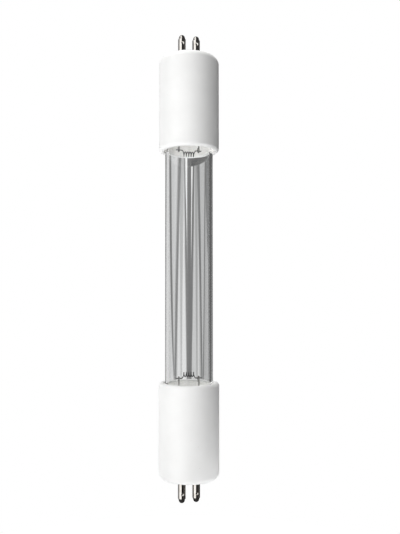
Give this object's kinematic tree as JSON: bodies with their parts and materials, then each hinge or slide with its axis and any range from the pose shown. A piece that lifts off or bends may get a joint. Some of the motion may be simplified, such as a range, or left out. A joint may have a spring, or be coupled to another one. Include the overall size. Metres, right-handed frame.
{
  "type": "ultraviolet lamp",
  "caption": "Double-ended bi-pin germicidal lamp: clear quartz tube, a white ceramic cap cemented on each end, and coiled filaments hung on hooked posts inside.",
  "frame": {"origin": "centre of the lower cap's outer end face", "axes": "+Z along the tube, from the lower cap to the upper one; the pins and the filament posts lie in the XZ plane, with the left ones on -X; -Y is the side seen in the picture, turned by about 13 degrees"},
  "size_m": [0.0195, 0.0194, 0.1519],
  "materials": {
    "quartz": "clear, polished by the flame",
    "ceramic": "smooth, unglazed satin white",
    "cement": "matt",
    "nickel": "bright nickel plate on brass",
    "molybdenum": "drawn and rolled, dull grey",
    "post_metal": "drawn wire, dark grey",
    "tungsten": "dark, with a thin pale coat of emitter",
    "mercury": "liquid mirror"
  },
  "bodies": {
    "root": {"quartz_envelope": "quartz", "lower_cap": "ceramic", "upper_cap": "ceramic", "lower_cement": "cement", "upper_cement": "cement", "lower_left_pin": "nickel", "lower_right_pin": "nickel", "upper_left_pin": "nickel", "upper_right_pin": "nickel", "lower_left_lead": "molybdenum", "lower_right_lead": "molybdenum", "upper_left_lead": "molybdenum", "upper_right_lead": "molybdenum", "lower_left_foil": "molybdenum", "lower_right_foil": "molybdenum", "upper_left_foil": "molybdenum", "upper_right_foil": "molybdenum", "lower_left_post": "post_metal", "lower_right_post": "post_metal", "upper_left_post": "post_metal", "upper_right_post": "post_metal", "lower_filament": "tungsten", "upper_filament": "tungsten", "mercury_bead": "mercury"}
  },
  "joints": []
}
